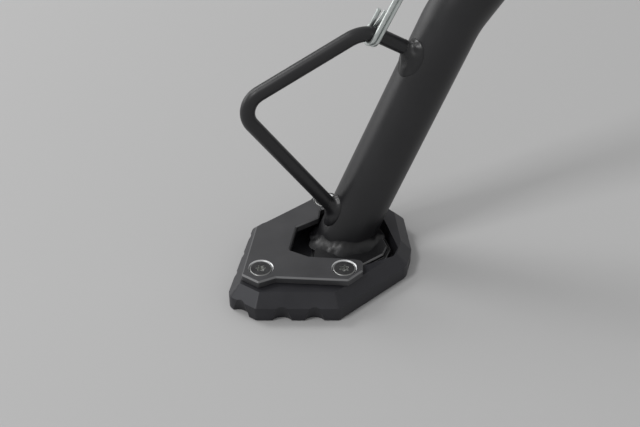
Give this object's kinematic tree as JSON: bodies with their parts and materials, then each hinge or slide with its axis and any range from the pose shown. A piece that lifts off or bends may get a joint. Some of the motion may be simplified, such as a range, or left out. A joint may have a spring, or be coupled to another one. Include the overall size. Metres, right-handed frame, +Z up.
{
  "type": "motorcycle side stand",
  "caption": "Bent steel tube leg on a clevis pivot, with a welded kick loop, paired return springs and a wide clamped-on foot under its end.",
  "frame": {"origin": "centre of the bracket's flat face that bolts to the motorcycle's frame", "axes": "+Z up with the stand deployed on level ground, +X to the motorcycle's rear, +Y inboard, out of the bracket's frame face"},
  "size_m": [0.221, 0.1325, 0.3373],
  "materials": {
    "powder_coat": "satin black powder coat",
    "anodised_black": "fine blasted black anodising",
    "anodised_grey": "satin dark grey anodising with bright machined edges",
    "zinc": "bright zinc plate",
    "black_oxide": "black oxide",
    "bronze": "oiled sintered bronze",
    "rubber": "matt moulded rubber"
  },
  "bodies": {
    "root": {"mount_bracket": "powder_coat", "pivot_bush": "bronze", "washer_outer": "zinc", "washer_inner": "zinc", "spring_post": "zinc", "stop_buffer": "rubber"},
    "leg": {"leg_tube": "powder_coat", "clevis_head": "powder_coat", "pivot_bolt": "zinc", "pivot_nut": "zinc", "kick_loop": "powder_coat", "loop_weld_lower": "powder_coat", "loop_weld_upper": "powder_coat", "foot_plate": "powder_coat", "foot_weld": "powder_coat", "foot_extension": "anodised_black", "clamp_plate": "anodised_grey", "clamp_screw_1": "black_oxide", "clamp_screw_2": "black_oxide", "clamp_screw_3": "black_oxide"},
    "springs": {"outer_spring": "zinc", "inner_spring": "zinc"}
  },
  "joints": [
    {"name": "leg_swing", "type": "hinge", "parent": "root", "child": "leg", "pos_m": [0, -0.025, -0.072], "axis": [0, -0.9781, 0.2079], "range_deg": [0, 115], "deforming": ["outer_spring", "inner_spring"]},
    {"name": "spring_swing", "type": "hinge", "parent": "root", "child": "springs", "pos_m": [-0.0161, -0.04312, 0.0255], "axis": [0, -0.9781, 0.2079], "range_deg": [0, 70.52]}
  ],
  "couplings": [
    {"joint": "spring_swing", "follows": "leg_swing", "ratio": 0.61146}
  ]
}
